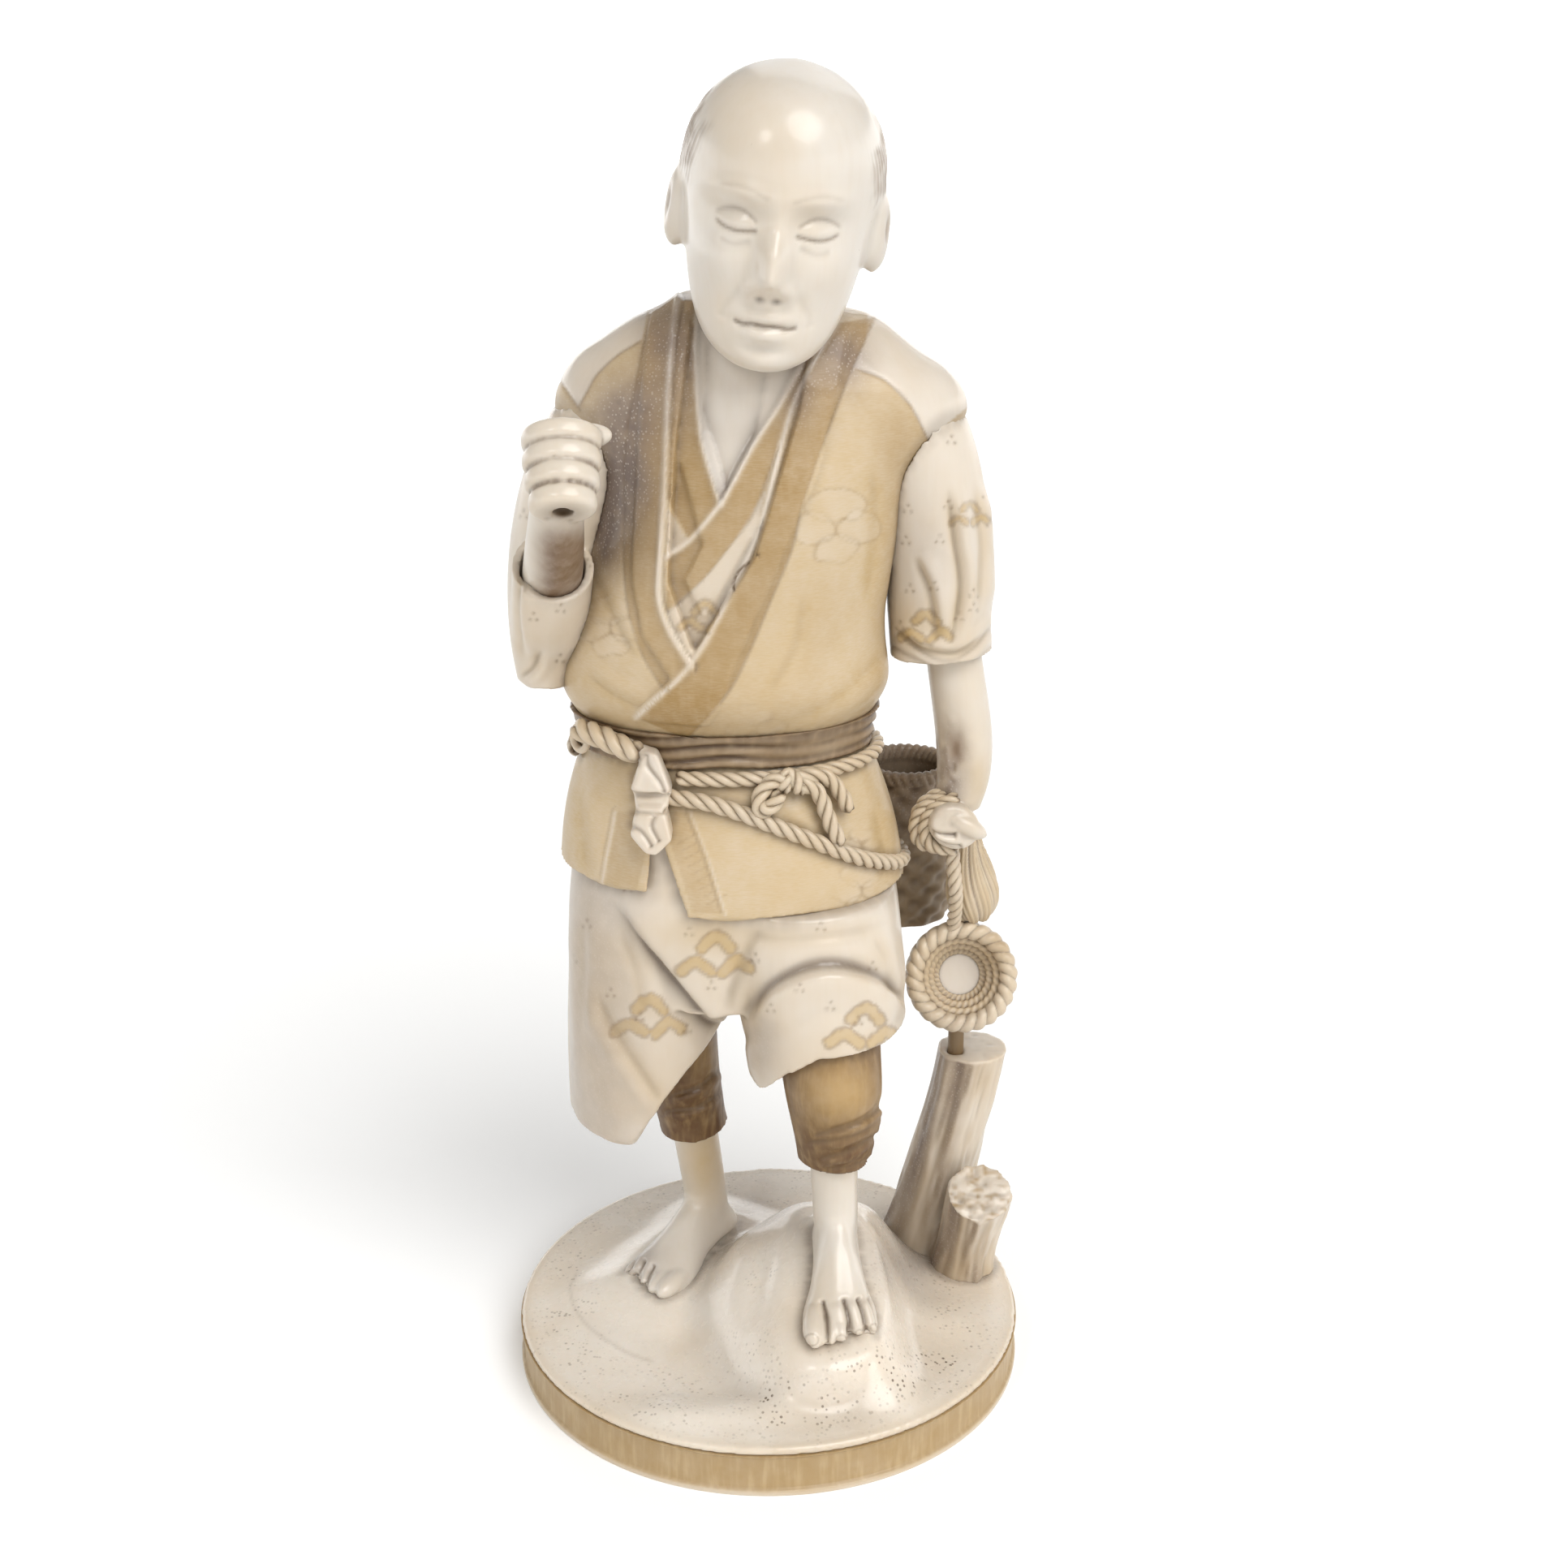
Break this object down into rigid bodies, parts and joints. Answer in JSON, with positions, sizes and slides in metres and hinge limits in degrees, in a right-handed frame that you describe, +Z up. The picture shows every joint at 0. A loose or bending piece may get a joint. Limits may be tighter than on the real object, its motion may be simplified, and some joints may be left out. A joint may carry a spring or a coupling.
{
  "type": "carved standing figure",
  "caption": "Standing okimono figure in a crossed coat on a round base, built from pegged sections, one fist bored for a slim rod.",
  "frame": {"origin": "on the underside of the round base, at its centre", "axes": "+Z up, -Y the way the figure faces, +X to the viewer's right, which is the figure's own left"},
  "size_m": [0.09, 0.09, 0.2226],
  "materials": {
    "base_rim": "satin",
    "base_ivory": "satin",
    "skin_ivory": "polished",
    "robe_ivory": "polished",
    "stained_coat": "satin",
    "stained_legging": "satin",
    "sash_ivory": "satin",
    "rope_ivory": "satin",
    "straw_ivory": "satin",
    "dark_creel": "satin",
    "bark_ivory": "matte",
    "dowel": "plain"
  },
  "bodies": {
    "root": {"basket_pin": "dowel", "coat_body": "stained_coat", "coat_tails": "stained_coat", "creel": "dark_creel", "foot_pegs": "dowel", "ground": "base_ivory", "hand_cord": "rope_ivory", "head": "skin_ivory", "hip_rope": "rope_ivory", "left_foot": "skin_ivory", "left_forearm": "skin_ivory", "left_legging": "stained_legging", "left_sleeve": "robe_ivory", "neck_peg": "dowel", "plinth": "base_rim", "pouch": "straw_ivory", "right_foot": "skin_ivory", "right_forearm": "skin_ivory", "right_legging": "stained_legging", "right_sleeve": "robe_ivory", "robe_skirt": "robe_ivory", "sash": "sash_ivory", "shoulder_pegs": "dowel", "straw_basket": "straw_ivory", "stump_peg": "dowel", "toggle_knot": "rope_ivory", "tree_stump": "bark_ivory", "waist_peg": "dowel", "waist_rope": "rope_ivory"}
  },
  "joints": []
}
